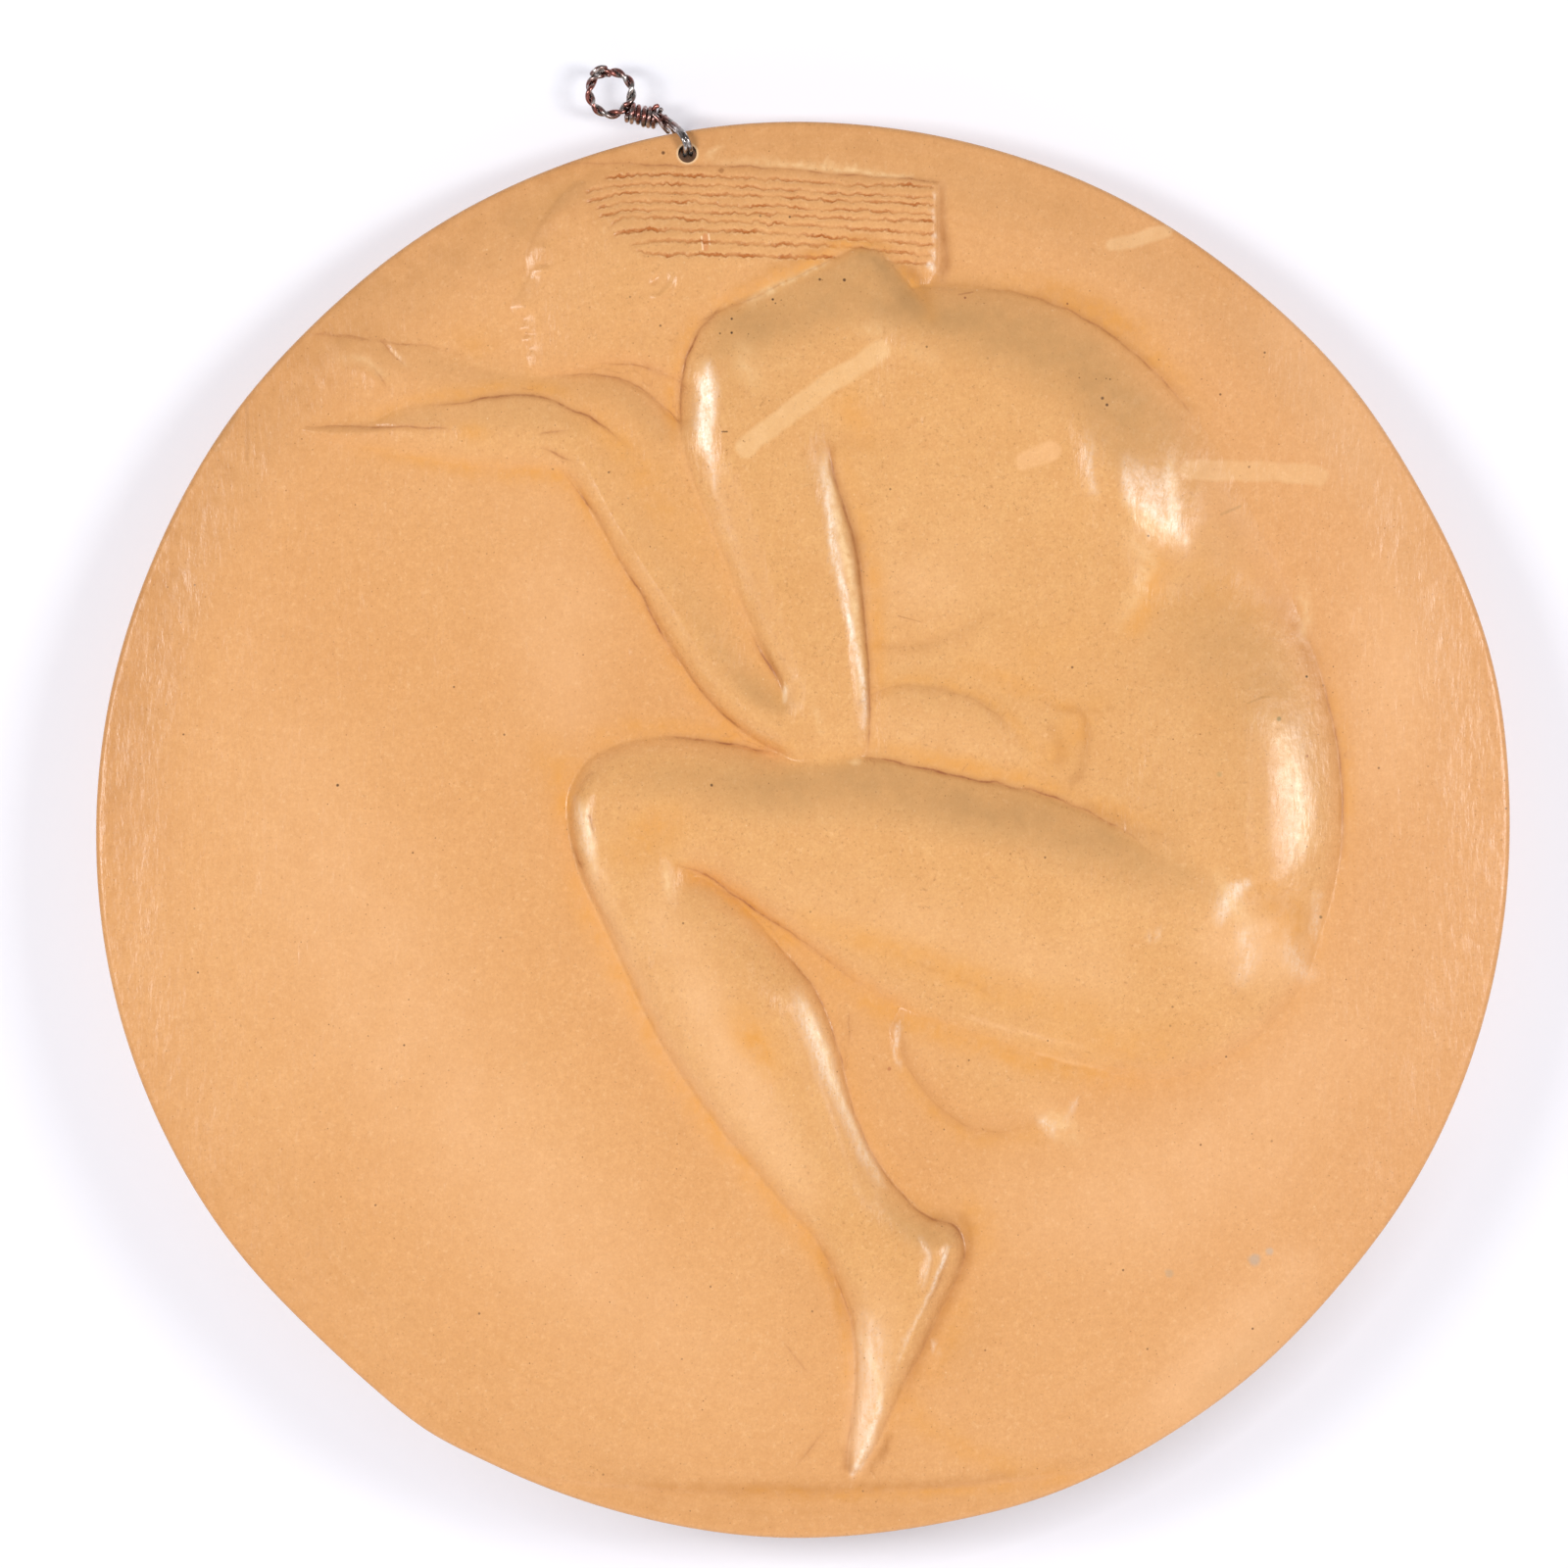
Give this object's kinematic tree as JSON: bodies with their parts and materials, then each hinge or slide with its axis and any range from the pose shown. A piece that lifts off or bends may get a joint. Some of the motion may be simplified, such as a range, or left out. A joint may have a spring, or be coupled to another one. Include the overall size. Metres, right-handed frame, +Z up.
{
  "type": "decorative wall plaque",
  "caption": "Round cast plaster wall plaque with a low relief of a folded figure, hung by a twisted wire eye through a hole near its rim.",
  "frame": {"origin": "middle of the wire eye, where a nail or hook passes", "axes": "+Z up, the relief faces -Y, the flat back faces +Y, +X to the viewer's right"},
  "size_m": [0.2201, 0.0164, 0.2292],
  "materials": {
    "painted_plaster": "satin",
    "copper_wire": "satin"
  },
  "bodies": {
    "root": {"plaque": "painted_plaster", "hanging_wire": "copper_wire"}
  },
  "joints": []
}
